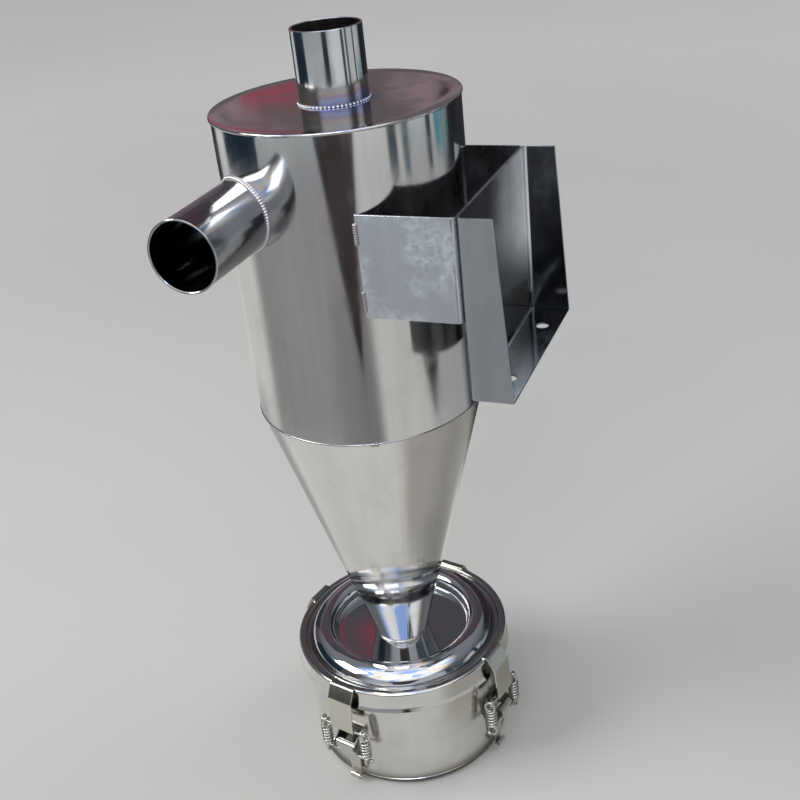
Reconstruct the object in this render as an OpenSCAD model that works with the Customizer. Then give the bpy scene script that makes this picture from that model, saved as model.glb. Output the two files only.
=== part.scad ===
// Small cyclone dust separator of polished stainless sheet, standing on its round dust bucket.
// Millimetres. +Z is up, the origin is the centre of the bucket's base, the wall bracket is on +X
// and the inlet pipe points to -Y.

/* [Cyclone] */
// Outer diameter of the rolled barrel
barrel_d = 168; // [160:1:180]
// Height of the barrel between the cone seam and the top plate
barrel_h = 216; // [200:1:240]
// Height of the cone from the lid's floor to the barrel
cone_h = 229.5; // [220:0.5:260]
// Outer diameter of the cone's foot
foot_d = 43; // [40:1:50]
// Thickness of the rolled sheet
sheet_t = 1.2; // [1:0.1:1.5]
// Thickness of the flat top plate
plate_t = 1.5; // [1:0.1:2.5]
// Radius of the weld beads on the barrel's two seams
bead_r = 0.9; // [0.6:0.1:1.2]

/* [Pipes] */
// Outer diameter of the inlet and outlet pipes
pipe_d = 48; // [44:1:52]
// Wall of the two pipes
pipe_t = 1.5; // [1.2:0.1:2]
// Height of the outlet pipe above the top plate
outlet_rise = 48; // [40:1:70]
// Depth of the outlet pipe inside the barrel
outlet_drop = 112; // [100:1:130]
// Distance of the inlet's mouth from the barrel's axis
inlet_reach = 147; // [130:1:170]
// Sideways distance from the barrel's side to the inlet pipe's side
inlet_inset = 18; // [12:1:24]
// Depth of the inlet's axis below the top plate
inlet_below = 54; // [45:1:65]
// Radius of the fillet welds round the two pipes
pipe_bead_r = 1.6; // [1.2:0.1:2]

/* [Bucket] */
// Outer diameter of the bucket at its foot
bucket_foot_d = 164; // [158:1:166]
// Outer diameter of the bucket under its rim
bucket_top_d = 172; // [168:1:173]
// Radius of the bend between wall and bottom
bucket_bend_r = 5; // [3:0.5:8]
// Radius of the rolled rim
rim_roll_r = 1.5; // [1:0.1:1.8]
// Width of the flat ring that the bucket stands on
stand_ring_w = 10; // [8:1:14]
// Height of the pressed-in bottom above the floor
bottom_lift = 2.5; // [2:0.5:4]
// Thickness of the bucket's and lid's sheet
bucket_t = 1; // [0.8:0.1:1.2]

/* [Lid] */
// Outer diameter of the lid at its rounded shoulder
lid_d = 176; // [176:0.5:180]
// Outer diameter of the skirt at its lower edge
skirt_d = 179; // [178:0.5:182]
// Height of the skirt's lower edge above the floor
skirt_z = 87; // [85:0.5:89]
// Height of the lid's flat floor above the floor that the bucket stands on
lid_floor_z = 101; // [100:0.5:103]
// Height of the shoulder's crest above the lid's floor
shoulder_up = 3.6; // [3:0.1:4.5]
// Height of the raised ring's crest above the lid's floor
ring_up = 13; // [10:0.5:15]
// Diameter of the raised ring's crest
ring_d = 127; // [120:1:132]
// Radius of the raised ring's round inner slope
ring_r = 7.5; // [6:0.5:9]
// Thickness of the seal between the bucket's rim and the lid
seal_t = 4; // [3:0.1:5]

/* [Bracket] */
// Width of the bracket across its side plates
bracket_w = 149; // [130:1:156]
// Distance of the bracket's web from the barrel's axis
web_x = 105; // [100:0.5:115]
// Thickness of the bracket's sheet
bracket_t = 1.2; // [1:0.1:2]
// Outer radius of the bracket's bends
bracket_bend_r = 4; // [3:0.5:6]
// Depth of the bracket's top edge below the top plate
bracket_below = 51; // [45:1:60]
// Height of the saddle that is welded to the barrel
saddle_h = 70; // [60:0.5:80]
// Height of the tray that stands against the wall
tray_h = 124.5; // [110:0.5:130]
// Depth of the tray's flanges at the top
tray_top_depth = 23.5; // [20:0.5:26]
// Depth of the tray's flanges at the bottom
tray_low_depth = 30; // [27:0.5:34]
// Diameter of the two screw holes
hole_d = 9; // [6:0.5:10]
// Distance between the two screw holes
hole_gap = 83; // [70:1:100]
// Distance of the screw holes from the web
hole_out = 18; // [14:0.5:20]
// Width of the open seam beside the tray's bottom
tray_seam = 0.6; // [0.4:0.1:1]

/* [Clips] */
// Angle of the first clip from the bracket
clip_turn = -11.5; // [-20:0.5:20]
// Distance of a clip's hinge pin from the bucket's axis
pin_x = 94.5; // [93:0.5:97]
// Height of a clip's hinge pin
pin_z = 49; // [46:0.5:54]
// Diameter of a clip's hinge pin
pin_d = 3; // [2.5:0.1:3.5]
// Running gap round the hinge pins
pin_gap = 0.1; // [0.05:0.05:0.1]
// Outer diameter of a lever's rolled barrel
curl_d = 6.6; // [6:0.1:7.4]
// Width of a lever at its rolled barrel
lever_w = 17; // [14:0.5:18]
// Width of a lever at its tip
lever_tip_w = 9; // [7:0.5:12]
// Height of a lever's tip above the floor
lever_tip_z = 8; // [6:0.5:12]
// Thickness of the clips' sheet
clip_t = 1.2; // [1:0.1:1.5]
// Gap between a clip's ear and its lever
ear_gap = 0.5; // [0.4:0.1:1]
// Drop of the spring pins below the hinge pin
spring_pin_drop = 11.5; // [11:0.5:13]
// Sideways distance of a spring's axis from the middle of its clip
spring_y = 19; // [18:0.5:21]
// Outer diameter of a spring
spring_d = 8; // [7:0.5:9]
// Diameter of a spring's wire
wire_d = 1.4; // [1.2:0.1:1.6]
// Turns of a spring
spring_turns = 7; // [5:1:8]
// Rise of each turn
spring_pitch = 2.7; // [2.4:0.1:3]
// Height of the cross wire in the strap's hem
hem_z = 67; // [65:0.5:69]
// Width of the strap that hooks over the lid
strap_w = 22; // [20:0.5:24]
// Length of the strap's tongue over the lid's shoulder
tongue = 5.5; // [4:0.5:7]

/* [Hidden] */
$fn = 96;
sides = 6;                  // sides of a swept wire
turn_steps = 10;            // steps in one turn of a spring
seat_gap = 0.3;             // gap between a moving piece and what it rests on

barrel_r = barrel_d / 2;
foot_r = foot_d / 2;
pipe_r = pipe_d / 2;
cone_top_z = lid_floor_z + cone_h;
plate_z = cone_top_z + barrel_h;          // underside of the top plate
top_z = plate_z + plate_t;
inlet_z = plate_z - inlet_below;
inlet_offset = barrel_r - pipe_r - inlet_inset;
bracket_top_z = plate_z - bracket_below;
saddle_z = bracket_top_z - saddle_h;
tray_z = bracket_top_z - tray_h;
bucket_foot_r = bucket_foot_d / 2;
bucket_top_r = bucket_top_d / 2;
lid_r = lid_d / 2;
skirt_r = skirt_d / 2;
shoulder_z = lid_floor_z + shoulder_up;
bucket_h = shoulder_z - bucket_t - seal_t;
ring_z = lid_floor_z + ring_up;
hook_x = lid_r + 5.2;                     // outer face of the strap beside the lid's shoulder
spring_pin_x = pin_x - 2;
spring_pin_z = pin_z - spring_pin_drop;
strap_foot_x = spring_pin_x + 2.5;
coil_r = (spring_d - wire_d) / 2;

// Sheet sections: a path of points, thickened to one side of the walking direction.
function unit(v) = v / norm(v);
function left_of(v) = [-v[1], v[0]];
function arc(c, r, from, to, n = 6) =
    [for (i = [0:n]) c + r * [cos(from + (to - from) * i / n), sin(from + (to - from) * i / n)]];
function along(p, i) =
    let (last = len(p) - 1)
    [unit(p[max(i, 1)] - p[max(i, 1) - 1]), unit(p[min(i, last - 1) + 1] - p[min(i, last - 1)])];
function shifted(p, i, d) =
    let (a = along(p, i), m = unit(left_of(a[0]) + left_of(a[1])))
    p[i] + m * d / (m * left_of(a[0]));
module strip(path, t) {
    last = len(path) - 1;
    polygon(concat(path, [for (i = [last:-1:0]) shifted(path, i, t)]));
}

// A round wire swept through 3D points. An open wire carries its first cross direction along with
// it, and a loop turns every cross direction from one fixed one.
function direction(p, i, n, closed) =
    unit(closed ? p[(i + 1) % n] - p[(i + n - 1) % n] : p[min(i + 1, n - 1)] - p[max(i - 1, 0)]);
function square_to(v, t) = unit(v - (v * t) * t);
module swept(points, r, cross_dirs, closed) {
    n = len(points);
    corners = [for (i = [0:n - 1])
        let (t = direction(points, i, n, closed), u = cross_dirs[i], v = cross(t, u))
        for (k = [0:sides - 1])
            points[i] + r * (cos(360 * k / sides) * u + sin(360 * k / sides) * v)];
    skin = [for (i = [0:(closed ? n : n - 1) - 1]) for (k = [0:sides - 1])
        let (a = i * sides + k, b = i * sides + (k + 1) % sides, next = (i + 1) % n * sides,
             c = next + (k + 1) % sides, d = next + k)
        each [[a, c, b], [a, d, c]]];
    ends = closed ? [] : [[for (k = [0:sides - 1]) k], [for (k = [sides - 1:-1:0]) (n - 1) * sides + k]];
    polyhedron(points = corners, faces = concat(skin, ends), convexity = 8);
}
module wire(points, r) {
    n = len(points);
    t = [for (i = [0:n - 1]) direction(points, i, n, false)];
    start = abs(t[0][2]) > 0.9 ? [1, 0, 0] : [0, 0, 1];
    cross_dirs = [for (i = 0, u = square_to(start, t[0]); i < n;
        i = i + 1, u = square_to(u, t[min(i, n - 1)])) u];
    swept(points, r, cross_dirs, false);
}
module wire_loop(points, r, cross_dir) {
    n = len(points);
    swept(points, r, [for (i = [0:n - 1]) square_to(cross_dir, direction(points, i, n, true))], true);
}

module tube(r, t, h) {
    difference() {
        cylinder(r = r, h = h);
        translate([0, 0, -1]) cylinder(r = r - t, h = h + 2);
    }
}

// A bead of weld in the corner of two faces: its section is a slice of a disc between their angles.
module bead(r, z, size, from, to) {
    rotate_extrude() polygon(concat([[r, z]], arc([r, z], size, from, to, 8)));
}

module inlet_place() {
    translate([-inlet_offset, 0, inlet_z]) rotate([90, 0, 0]) children();
}

// Barrel, plate and cone
module barrel() {
    color("silver") difference() {
        translate([0, 0, cone_top_z]) tube(barrel_r, sheet_t, barrel_h);
        inlet_place() cylinder(r = pipe_r, h = inlet_reach);
    }
}

module top_plate() {
    color("silver") translate([0, 0, plate_z]) difference() {
        cylinder(r = barrel_r, h = plate_t);
        translate([0, 0, -1]) cylinder(r = pipe_r, h = plate_t + 2);
    }
}

module top_weld() {
    color("lightgray") bead(barrel_r, plate_z, bead_r, -90, 90);
}

cone_lean = atan((barrel_r - foot_r) / cone_h);
module cone() {
    wall = sheet_t / cos(cone_lean);
    color("silver") rotate_extrude() polygon([[foot_r, lid_floor_z], [barrel_r, cone_top_z],
        [barrel_r - wall, cone_top_z], [foot_r - wall, lid_floor_z]]);
}

module cone_weld() {
    color("dimgray") bead(barrel_r, cone_top_z, bead_r, -90 - cone_lean, 90);
}

// Pipes
module outlet_tube() {
    color("silver") translate([0, 0, plate_z - outlet_drop])
        tube(pipe_r, pipe_t, outlet_drop + plate_t + outlet_rise);
}

module outlet_weld() {
    color("slateblue") bead(pipe_r, top_z, pipe_bead_r, 0, 90);
}

module inlet_tube() {
    color("silver") difference() {
        inlet_place() tube(pipe_r, pipe_t, inlet_reach);
        translate([0, 0, inlet_z - pipe_d]) cylinder(r = barrel_r - sheet_t, h = 2 * pipe_d);
    }
}

// The inlet's weld follows the line where the pipe meets the barrel, just outside both.
inlet_weld_points = 48;
weld_out = pipe_bead_r + 0.05;
function inlet_weld_at(a) =
    let (x = -inlet_offset + (pipe_r + weld_out) * cos(a), r = barrel_r + weld_out)
    [x, -sqrt(r * r - x * x), inlet_z + (pipe_r + weld_out) * sin(a)];
module inlet_weld() {
    color("slateblue")
        wire_loop([for (i = [0:inlet_weld_points - 1]) inlet_weld_at(360 * i / inlet_weld_points)],
            pipe_bead_r, [0, 1, 0]);
}

foot_bead_r = 1.3;
module foot_weld() {
    color("dimgray") bead(foot_r, lid_floor_z, foot_bead_r, 0, 90 - cone_lean);
}

// Lid: a rim with a skirt, a rounded shoulder and a step, and inside it a pressed top with a broad
// raised ring and a flat floor for the cone
ring_crest_r = ring_d / 2;
shoulder_r = 2.2;
step_bend_r = 1.2;
foot_bend_r = 1.4;
skirt_flare_h = 4;
step_r = lid_r - 6;
rim_join_r = step_r - 2;
ring_foot_r = rim_join_r - foot_bend_r - 0.6;
groove_z = lid_floor_z - 1.5;
module lid_rim() {
    path = concat(
        [[skirt_r, skirt_z]],
        [[lid_r, skirt_z + skirt_flare_h]],
        arc([lid_r - shoulder_r, shoulder_z - shoulder_r], shoulder_r, 0, 90, 5),
        arc([step_r + step_bend_r, shoulder_z - step_bend_r], step_bend_r, 90, 180, 2),
        arc([step_r - foot_bend_r, groove_z + foot_bend_r], foot_bend_r, 0, -90, 2),
        [[rim_join_r, groove_z]]);
    color("gainsboro") rotate_extrude() strip(path, bucket_t);
}

module bucket_lid() {
    ring_inner_r = ring_crest_r - ring_r;
    slope_w = ring_foot_r - ring_crest_r;
    slope_h = ring_z - groove_z;
    path = concat(
        [[rim_join_r, groove_z]],
        arc([ring_foot_r + foot_bend_r, groove_z + foot_bend_r], foot_bend_r, 270, 180, 2),
        [for (a = [10 : 16 : 74]) [ring_crest_r + slope_w * cos(a), groove_z + slope_h * sin(a)]],
        arc([ring_crest_r, ring_z - ring_r], ring_r, 90, 170, 4),
        [[ring_inner_r - foot_bend_r, lid_floor_z + foot_bend_r]],
        [[ring_inner_r - 2 * foot_bend_r, lid_floor_z]],
        [[foot_r - sheet_t, lid_floor_z]]);
    color("gainsboro") rotate_extrude() strip(path, bucket_t);
}

module lid_seal() {
    color("whitesmoke") translate([0, 0, bucket_h]) difference() {
        cylinder(r = lid_r - shoulder_r, h = seal_t);
        translate([0, 0, -1]) cylinder(r = step_r + step_bend_r, h = seal_t + 2);
    }
}

// Bucket: a pressed pan with the bend round its foot, and a tapered wall with a rolled rim
pan_edge_z = bucket_bend_r + 1;
module bucket_wall() {
    color("gainsboro") rotate_extrude() {
        strip([[bucket_foot_r, pan_edge_z], [bucket_top_r, bucket_h - rim_roll_r]], bucket_t);
        translate([bucket_top_r - rim_roll_r, bucket_h - rim_roll_r]) circle(r = rim_roll_r, $fn = 24);
    }
}

module bucket_bottom() {
    ring_out_r = bucket_foot_r - bucket_bend_r;
    ring_in_r = ring_out_r - stand_ring_w;
    path = concat(
        [[0, bottom_lift], [ring_in_r - bottom_lift, bottom_lift], [ring_in_r, 0]],
        arc([ring_out_r, bucket_bend_r], bucket_bend_r, -90, 0),
        [[bucket_foot_r, pan_edge_z]]);
    color("gainsboro") rotate_extrude() strip(path, bucket_t);
}

// Bracket
module saddle_bracket() {
    side = bracket_w / 2;
    path = concat(
        [[0, -side]],
        arc([web_x - bracket_bend_r, -side + bracket_bend_r], bracket_bend_r, -90, 0),
        arc([web_x - bracket_bend_r, side - bracket_bend_r], bracket_bend_r, 0, 90),
        [[0, side]]);
    color("lightsteelblue") difference() {
        translate([0, 0, saddle_z]) linear_extrude(saddle_h) strip(path, bracket_t);
        translate([0, 0, saddle_z - 1]) cylinder(r = barrel_r, h = saddle_h + 2);
    }
}

// Welds where the side plates' edges meet the barrel, near the top and the bottom of each edge
edge_weld_w = 5;
edge_weld_h = 14;
edge_weld_in = 12;
module saddle_welds() {
    edge_y = bracket_w / 2;
    edge_x = sqrt(barrel_r * barrel_r - edge_y * edge_y);
    color("gray") difference() {
        for (side = [-1, 1]) for (z = [saddle_z + edge_weld_in, bracket_top_z - edge_weld_in])
            translate([edge_x, side * edge_y, z - edge_weld_h / 2])
                cylinder(r = edge_weld_w / 2, h = edge_weld_h);
        translate([0, 0, saddle_z]) cylinder(r = barrel_r, h = saddle_h);
        translate([0, -edge_y, saddle_z]) cube([web_x, bracket_w, saddle_h]);
    }
}

module tray_bracket() {
    side = bracket_w / 2;
    r = bracket_bend_r;
    plan = concat(
        [[web_x + tray_low_depth, side]],
        arc([web_x + r, side - r], r, 90, 180),
        arc([web_x + r, -side + r], r, 180, 270),
        [[web_x + tray_low_depth, -side]]);
    flank = concat(
        [[web_x, tray_h], [web_x + tray_top_depth, tray_h], [web_x + tray_low_depth, 0]],
        arc([web_x + r, r], r, 270, 180));
    floor_path = concat(
        [[web_x, 2 * r]],
        arc([web_x + r, r], r, 180, 270),
        [[web_x + tray_low_depth, 0]]);
    inner_w = bracket_w - 2 * (bracket_t + tray_seam);
    color("lightslategray") translate([0, 0, tray_z]) difference() {
        union() {
            intersection() {
                linear_extrude(tray_h) strip(plan, bracket_t);
                translate([0, side + 1, 0]) rotate([90, 0, 0]) linear_extrude(bracket_w + 2)
                    polygon(flank);
            }
            translate([0, inner_w / 2 - r, 0]) rotate([90, 0, 0]) linear_extrude(inner_w - 2 * r)
                strip(floor_path, bracket_t);
            translate([web_x + r, -inner_w / 2, 0])
                cube([tray_low_depth - r, inner_w, bracket_t]);
        }
        for (y = [-hole_gap / 2, hole_gap / 2])
            translate([web_x + hole_out, y, -1]) cylinder(d = hole_d, h = bracket_t + 2);
    }
}

// Clips: local +X points away from the bucket's axis, +Y runs along its rim
function wall_x(z) =
    bucket_foot_r + (bucket_top_r - bucket_foot_r) * (z - pan_edge_z)
        / (bucket_h - rim_roll_r - pan_edge_z);
ear_y = lever_w / 2 + ear_gap;
base_w = 2 * (ear_y + clip_t);
base_low = pin_z - 8;
base_high = pin_z + 10;
base_lap = 3;                             // how far the base's plate runs on past its ears
ear_r = 4.2;
pin_head = 0.8;                           // part of the hinge pin outside each ear
module on_rim(i) {
    rotate([0, 0, clip_turn + 90 * i]) children();
}

module across(x, z, r, w) {
    translate([x, w / 2, z]) rotate([90, 0, 0]) cylinder(r = r, h = w);
}

module clip_base(i) {
    ear = concat(
        [[wall_x(base_high), base_high]],
        arc([pin_x, pin_z], ear_r, 60, -75, 6),
        [[wall_x(base_low), base_low]]);
    color("silver") on_rim(i) union() {
        intersection() {
            rotate_extrude() strip([[wall_x(base_low - base_lap), base_low - base_lap],
                [wall_x(base_high + base_lap), base_high + base_lap]], -clip_t);
            translate([0, -base_w / 2, 0]) cube([2 * bucket_top_r, base_w, bucket_h]);
        }
        difference() {
            for (y = [-ear_y - clip_t, ear_y])
                translate([0, y + clip_t, 0]) rotate([90, 0, 0]) linear_extrude(clip_t) polygon(ear);
            rotate_extrude() polygon([[0, base_low], [wall_x(base_low), base_low],
                [wall_x(base_high), base_high], [0, base_high]]);
        }
        across(pin_x, pin_z, pin_d / 2, base_w + 2 * pin_head);
    }
}

// Lever: rolled barrel round the hinge pin, flat shank with the spring pins, rolled tip
tip_out = 4.2;                            // distance of the tip from the bucket's wall
knee_out = 4.5;                           // distance of the shank's bend from the wall
knee_drop = 6;                            // height of that bend below the spring pins
tip_roll_r = 2;
spring_pin_r = 1.3;
knob_r = 2;                               // ball at each end of the spring pins
knob_out = 3;
module clip_lever(i) {
    tip = [wall_x(lever_tip_z) + tip_out, lever_tip_z];
    knee_z = spring_pin_z - knee_drop;
    shank = [[pin_x, pin_z - (curl_d - clip_t) / 2], [spring_pin_x + clip_t / 2, spring_pin_z],
        [wall_x(knee_z) + knee_out, knee_z], tip];
    color("silver") on_rim(i) difference() {
        union() {
            across(pin_x, pin_z, curl_d / 2, lever_w);
            intersection() {
                translate([0, lever_w / 2, 0]) rotate([90, 0, 0]) linear_extrude(lever_w)
                    strip(shank, clip_t);
                rotate([90, 0, 90]) linear_extrude(2 * pin_x) polygon([
                    [-lever_tip_w / 2, 0], [lever_tip_w / 2, 0], [lever_w / 2, spring_pin_z],
                    [lever_w / 2, pin_z], [-lever_w / 2, pin_z], [-lever_w / 2, spring_pin_z]]);
            }
            across(tip[0] + tip_roll_r / 2, tip[1], tip_roll_r, lever_tip_w);
            across(spring_pin_x, spring_pin_z, spring_pin_r, 2 * (spring_y + knob_out));
            for (y = [-spring_y - knob_out, spring_y + knob_out])
                translate([spring_pin_x, y, spring_pin_z]) sphere(r = knob_r, $fn = 24);
        }
        across(pin_x, pin_z, pin_d / 2 + pin_gap, lever_w + 2);
    }
}

// Springs: close coils with an eye at each end, one on each side of the strap. Each is one wire: up
// round the lever's pin, into the coil, and out of it round the strap's cross wire.
eye_r = 2.4;
eye_steps = 8;
lead_steps = 4;
coil_h = spring_turns * spring_pitch;
coil_z = (spring_pin_z + hem_z - coil_h) / 2;
coil_x = (spring_pin_x + strap_foot_x) / 2;
function eye(x, y, z, from, to) =
    [for (i = [0:eye_steps]) let (a = from + (to - from) * i / eye_steps)
        [x + eye_r * cos(a), y, z + eye_r * sin(a)]];
function coil(y) =
    [for (i = [-lead_steps:spring_turns * turn_steps + lead_steps])
        let (a = 360 * i / turn_steps,
             over = max(-i, i - spring_turns * turn_steps, 0),
             r = coil_r * (1 - over / lead_steps * 0.8))
        [coil_x + r * cos(a), y + r * sin(a), coil_z + spring_pitch * i / turn_steps]];
module one_spring(y) {
    wire(concat(eye(spring_pin_x, y, spring_pin_z, -200, 90), coil(y),
        eye(strap_foot_x, y, hem_z, -90, 200)), wire_d / 2);
}

module clip_springs(i) {
    color("darkgray") on_rim(i) for (y = [-spring_y, spring_y]) one_spring(y);
}

// Hook: strap with a rolled hem round its cross wire, bent over the lid's shoulder into a tongue
strap_bend_r = 4;
strap_side_z = shoulder_z - 12;           // height where the strap starts to lean out to the springs
hem_r = 2.4;
hem_wire_r = 1.1;
module clip_hook(i) {
    tongue_z = shoulder_z + seat_gap + clip_t;
    bend_x = hook_x - strap_bend_r;
    path = concat(
        [[strap_foot_x + hem_r - clip_t / 2, hem_z]],
        [[hook_x, strap_side_z]],
        arc([bend_x, tongue_z - strap_bend_r], strap_bend_r, 0, 90),
        [[bend_x - tongue, tongue_z]]);
    color("gainsboro") on_rim(i) union() {
        translate([0, strap_w / 2, 0]) rotate([90, 0, 0]) linear_extrude(strap_w) strip(path, clip_t);
        across(strap_foot_x, hem_z, hem_r, strap_w);
        across(strap_foot_x, hem_z, hem_wire_r, 2 * (spring_y + knob_out) - 2);
    }
}

barrel();
top_plate();
top_weld();
cone();
cone_weld();
outlet_tube();
outlet_weld();
inlet_tube();
inlet_weld();
foot_weld();
bucket_lid();
lid_rim();
lid_seal();
bucket_wall();
bucket_bottom();
saddle_bracket();
saddle_welds();
tray_bracket();
clip_base(0);  // clip_base_1
clip_base(1);  // clip_base_2
clip_base(2);  // clip_base_3
clip_base(3);  // clip_base_4
clip_lever(0);  // clip_lever_1
clip_lever(1);  // clip_lever_2
clip_lever(2);  // clip_lever_3
clip_lever(3);  // clip_lever_4
clip_springs(0);  // clip_springs_1
clip_springs(1);  // clip_springs_2
clip_springs(2);  // clip_springs_3
clip_springs(3);  // clip_springs_4
clip_hook(0);  // clip_hook_1
clip_hook(1);  // clip_hook_2
clip_hook(2);  // clip_hook_3
clip_hook(3);  // clip_hook_4
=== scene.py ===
import math

import bmesh
import bpy
from mathutils import Matrix, Vector


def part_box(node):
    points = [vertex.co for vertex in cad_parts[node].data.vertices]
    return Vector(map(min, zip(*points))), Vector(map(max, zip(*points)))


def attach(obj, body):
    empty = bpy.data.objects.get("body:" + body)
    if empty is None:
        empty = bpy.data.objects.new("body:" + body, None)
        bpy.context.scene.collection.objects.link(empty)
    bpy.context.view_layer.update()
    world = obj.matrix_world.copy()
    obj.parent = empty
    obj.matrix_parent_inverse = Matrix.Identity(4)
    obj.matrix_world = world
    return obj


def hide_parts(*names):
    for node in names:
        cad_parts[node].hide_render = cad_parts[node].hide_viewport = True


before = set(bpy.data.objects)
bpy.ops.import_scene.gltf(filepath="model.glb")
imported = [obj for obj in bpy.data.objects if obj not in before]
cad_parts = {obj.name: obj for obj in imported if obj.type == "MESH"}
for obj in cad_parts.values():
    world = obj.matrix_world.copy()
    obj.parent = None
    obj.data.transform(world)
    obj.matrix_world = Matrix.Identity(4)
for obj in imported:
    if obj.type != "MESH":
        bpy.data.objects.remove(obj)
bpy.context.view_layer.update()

mm = 0.001

# Sizes that the frame gives
foot_bead_r = 1.3 * mm
low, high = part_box("barrel")
barrel_r, seam_z = high.x, low.z
low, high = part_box("top_plate")
plate_z, top_z = low.z, high.z
lid_floor_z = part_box("cone")[0].z
foot_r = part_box("foot_weld")[1].x - foot_bead_r
low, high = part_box("outlet_tube")
pipe_r, outlet_low_z, outlet_top_z = high.x, low.z, high.z
low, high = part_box("inlet_tube")
inlet_x, inlet_z, mouth_y = (low.x + high.x) / 2, (low.z + high.z) / 2, low.y
low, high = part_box("lid_rim")
skirt_r, skirt_z, shoulder_z = high.x, low.z, high.z
low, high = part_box("bucket_lid")
rim_join_r, ring_z = high.x, high.z
low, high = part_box("bucket_wall")
bucket_top_r, bucket_h, pan_edge_z = high.x, high.z, low.z
bucket_foot_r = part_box("bucket_bottom")[1].x
low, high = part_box("saddle_bracket")
web_x, bracket_w = high.x, 2 * high.y
saddle_z, bracket_top_z = low.z, high.z
low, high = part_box("tray_bracket")
tray_z, tray_out = low.z, high.x - web_x

# Sheet, pipe, lid and bucket
sheet_t = 1.2 * mm
pipe_t = 1.5 * mm
pressed_t = 1.0 * mm
lid_r = 88 * mm
ring_crest_r = 63.5 * mm
ring_back_r = 7.5 * mm
bucket_roll_r = 1.5 * mm

# Clips, measured on the one at +X
clip_count = 4
clip_turn = math.radians(-11.5)
clip_t = 1.2 * mm
clip_edge = 0.2 * mm
pin_x = 94.5 * mm
pin_z = 49 * mm
curl_d = 6.6 * mm
lever_w = 17 * mm
lever_tip_w = 9 * mm
lever_tip_z = 8 * mm
tip_roll_r = 2.0 * mm
spring_pin_x = pin_x - 2 * mm
spring_pin_z = pin_z - 11.5 * mm
spring_y = 19 * mm
spring_turns = 6
spring_pitch = 3.0 * mm
wire_r = 0.85 * mm
coil_r = 3.8 * mm
link_wire_r = 1.05 * mm
hook_x = lid_r + 5.2 * mm
strap_w = 22 * mm
strap_foot_x = spring_pin_x + 2.5 * mm
hem_z = 67 * mm
hem_r = 2.4 * mm
hem_wire_r = 1.1 * mm
tongue = 5.5 * mm

# Bracket
bracket_t = 1.2 * mm
bracket_bend_r = 4 * mm - bracket_t / 2
bracket_side = (bracket_w - bracket_t) / 2
bracket_edge = 0.25 * mm
hole_r = 4.5 * mm
hole_gap = 83 * mm
hole_out = 18 * mm

TURN_STEPS = 256
smooth_angle = math.radians(35)
sharp_angle = math.radians(50)
merge_gap = 0.001 * mm


# Outlines of sheet: points (r, z) walked so that the sheet's thickness lies to the left
def arc(r, z, size, start, end, steps):
    """Points of an arc round (r, z) from one angle to another, in degrees."""
    angles = [math.radians(start + (end - start) * i / steps) for i in range(steps + 1)]
    return [(r + size * math.cos(a), z + size * math.sin(a)) for a in angles]


def side_step(path, i, distance):
    """The point beside path[i], at that distance to the left of the walk."""
    last = len(path) - 1
    before = (Vector(path[max(i, 1)]) - Vector(path[max(i, 1) - 1])).normalized()
    after = (Vector(path[min(i, last - 1) + 1]) - Vector(path[min(i, last - 1)])).normalized()
    left = Vector((-before.y, before.x))
    middle = (left + Vector((-after.y, after.x))).normalized()
    return tuple(Vector(path[i]) + middle * distance / middle.dot(left))


def towards(a, b, distance):
    """The point at that distance from a on the way to b."""
    return tuple(Vector(a) + (Vector(b) - Vector(a)).normalized() * distance)


def sheet_outline(path, thickness):
    """The closed outline of a sheet of that thickness, its two raw edges slightly rounded."""
    round_off = 0.25 * thickness
    inner = [side_step(path, i, thickness) for i in range(len(path))]
    outline = []
    for side, other in ((path, inner[-1]), (inner[::-1], path[0])):
        outline += [towards(side[0], side[1], round_off), *side[1:-1],
                    towards(side[-1], side[-2], round_off), towards(side[-1], other, round_off),
                    towards(other, side[-1], round_off)]
    return outline


# Making pieces
def start_afresh():
    if bpy.context.object and bpy.context.object.mode != "OBJECT":
        bpy.ops.object.mode_set(mode="OBJECT")
    bpy.ops.object.select_all(action="DESELECT")


def settle(piece):
    """Ends edit mode, puts the piece's place into its mesh and shades it."""
    bpy.ops.object.mode_set(mode="OBJECT")
    bpy.ops.object.transform_apply()
    bpy.ops.object.shade_smooth_by_angle(angle=smooth_angle)
    return piece


def turned(name, outline):
    """Draws a circle out from ring to ring round a closed outline, about the Z axis."""
    start_afresh()
    r, z = outline[0]
    bpy.ops.mesh.primitive_circle_add(vertices=TURN_STEPS, radius=r, location=(0, 0, z),
                                      enter_editmode=True)
    piece = bpy.context.object
    piece.name = name
    for next_r, next_z in outline[1:] + outline[:1]:
        bpy.ops.mesh.extrude_region_move(TRANSFORM_OT_translate={"value": (0, 0, next_z - z)})
        bpy.ops.transform.resize(value=(next_r / r, next_r / r, 1), center_override=(0, 0, next_z))
        r, z = next_r, next_z
    bpy.ops.mesh.select_all(action="SELECT")
    bpy.ops.mesh.remove_doubles(threshold=merge_gap)
    bpy.ops.mesh.normals_make_consistent(inside=False)
    return settle(piece)


def only(piece):
    start_afresh()
    piece.select_set(True)
    bpy.context.view_layer.objects.active = piece


def copy_of(model):
    """A copy of the piece with its own mesh."""
    copy = model.copy()
    copy.data = model.data.copy()
    bpy.context.collection.objects.link(copy)
    return copy


def joined(name, pieces):
    only(pieces[0])
    for piece in pieces:
        piece.select_set(True)
    bpy.ops.object.join()
    piece = bpy.context.object
    piece.name = name
    return piece


def cut(piece, cutter):
    """Cuts the cutter's shape out of the piece and deletes the cutter."""
    only(piece)
    modifier = piece.modifiers.new("cut", "BOOLEAN")
    modifier.object = cutter
    modifier.solver = "EXACT"
    bpy.ops.object.modifier_apply(modifier="cut")
    bpy.data.objects.remove(cutter)
    bpy.ops.object.shade_smooth_by_angle(angle=smooth_angle)


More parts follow.
